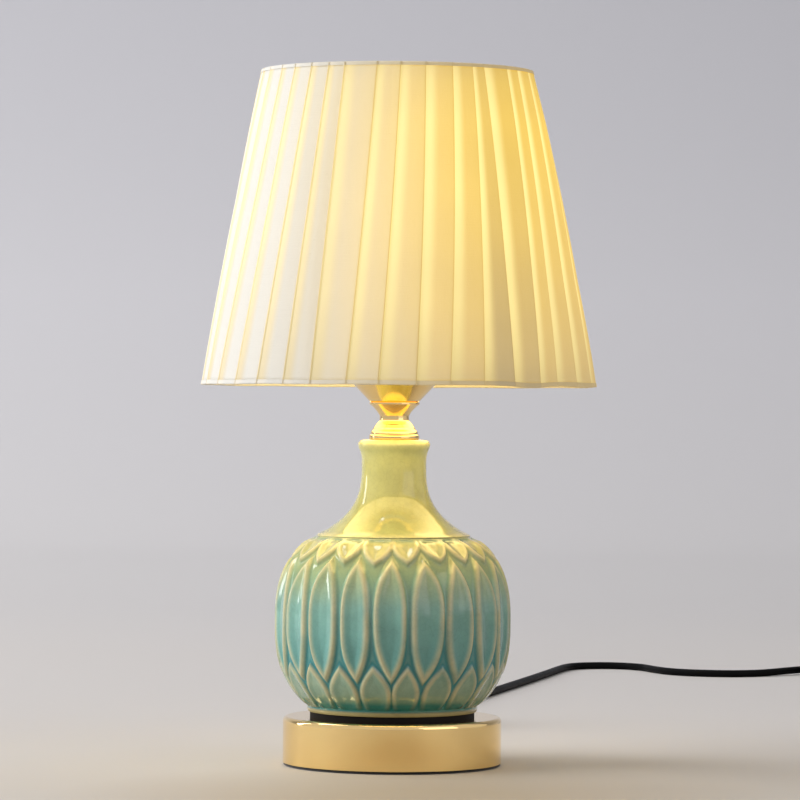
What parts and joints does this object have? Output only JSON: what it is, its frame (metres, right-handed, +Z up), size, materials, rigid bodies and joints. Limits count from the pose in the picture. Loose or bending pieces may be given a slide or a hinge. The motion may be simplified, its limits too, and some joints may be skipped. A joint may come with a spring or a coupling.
{
  "type": "ceramic desk lamp",
  "caption": "Table lamp with a petalled ceramic vase body on a round gold base, a gold neck, a turning pleated cloth shade, a removable bulb and a cord with a rocker switch.",
  "frame": {"origin": "centre of the foot pad's underside, on the surface that the lamp stands on", "axes": "+Z up along the lamp's rod, -Y towards the front that the picture shows, +Y towards the side where the cord leaves the base"},
  "size_m": [0.5019, 0.8948, 0.39],
  "materials": {
    "pad_felt": "felt",
    "gold": "satin lacquered",
    "steel": "zinc plated",
    "iron": "raw casting",
    "gasket_rubber": "matt",
    "glazed_ceramic": "gloss glaze with fine crackle, opaque",
    "white_plastic": "smooth",
    "brass_contact": "bare",
    "cap_metal": "bare",
    "black_insulator": "gloss",
    "bulb_plastic": "matt",
    "board": "matt",
    "opal_glass": "opal",
    "white_wire": "powder coat",
    "liner_film": "translucent matt film",
    "pleated_cloth": "fine weave",
    "trim_cloth": "fine weave",
    "black_rubber": "matt",
    "black_plastic": "satin",
    "brown_core": "matt",
    "blue_core": "matt",
    "nickel_pin": "bright"
  },
  "bodies": {
    "lamp": {"foot_pad": "pad_felt", "base_plate": "steel", "base_shell": "gold", "base_weight": "iron", "base_washer": "steel", "base_nut": "steel", "body_gasket": "gasket_rubber", "threaded_rod": "steel", "ceramic_body": "glazed_ceramic", "neck_bell": "gold", "neck_cup": "gold", "socket_dish": "gold", "lampholder_cap": "white_plastic", "lampholder_shell": "white_plastic", "lampholder_insert": "white_plastic", "screw_shell": "brass_contact", "centre_contact": "brass_contact", "terminal_screws": "steel", "lock_ring": "white_plastic", "strain_relief": "black_rubber", "inner_lead": "black_rubber", "cord_clamp": "black_plastic", "live_core": "brown_core", "neutral_core": "blue_core", "switch_base": "black_plastic", "switch_cover": "black_plastic", "rocker_pin": "steel", "switch_contacts": "brass_contact", "switch_screws": "steel", "cord_lamp_run": "black_rubber", "cord_floor_run": "black_rubber", "cord_coil": "black_rubber", "coil_tie": "black_rubber", "cord_tail": "black_rubber", "plug_body": "black_rubber", "plug_pins": "nickel_pin"},
    "shade": {"shade_frame": "white_wire", "shade_top_ring": "white_wire", "shade_liner": "liner_film", "shade_pleats": "pleated_cloth", "hem_trim": "trim_cloth", "top_trim": "trim_cloth"},
    "bulb": {"bulb_tip": "brass_contact", "bulb_insulator": "black_insulator", "bulb_cap": "cap_metal", "bulb_housing": "bulb_plastic", "driver_board": "board", "light_board": "board", "bulb_globe": "opal_glass"},
    "rocker": {"switch_rocker": "black_plastic"}
  },
  "joints": [
    {"name": "shade_turn", "type": "hinge", "parent": "lamp", "child": "shade", "pos_m": [0, 0, 0.238], "axis": [0, 0, 1], "continuous": true},
    {"name": "bulb_lift", "type": "slide", "parent": "lamp", "child": "bulb", "axis": [0, 0, 1], "range_m": [0, 0.16]},
    {"name": "switch_press", "type": "hinge", "parent": "lamp", "child": "rocker", "pos_m": [0.02, 0.265, 0.0125], "axis": [1, 0, 0], "range_deg": [0, 16]}
  ]
}
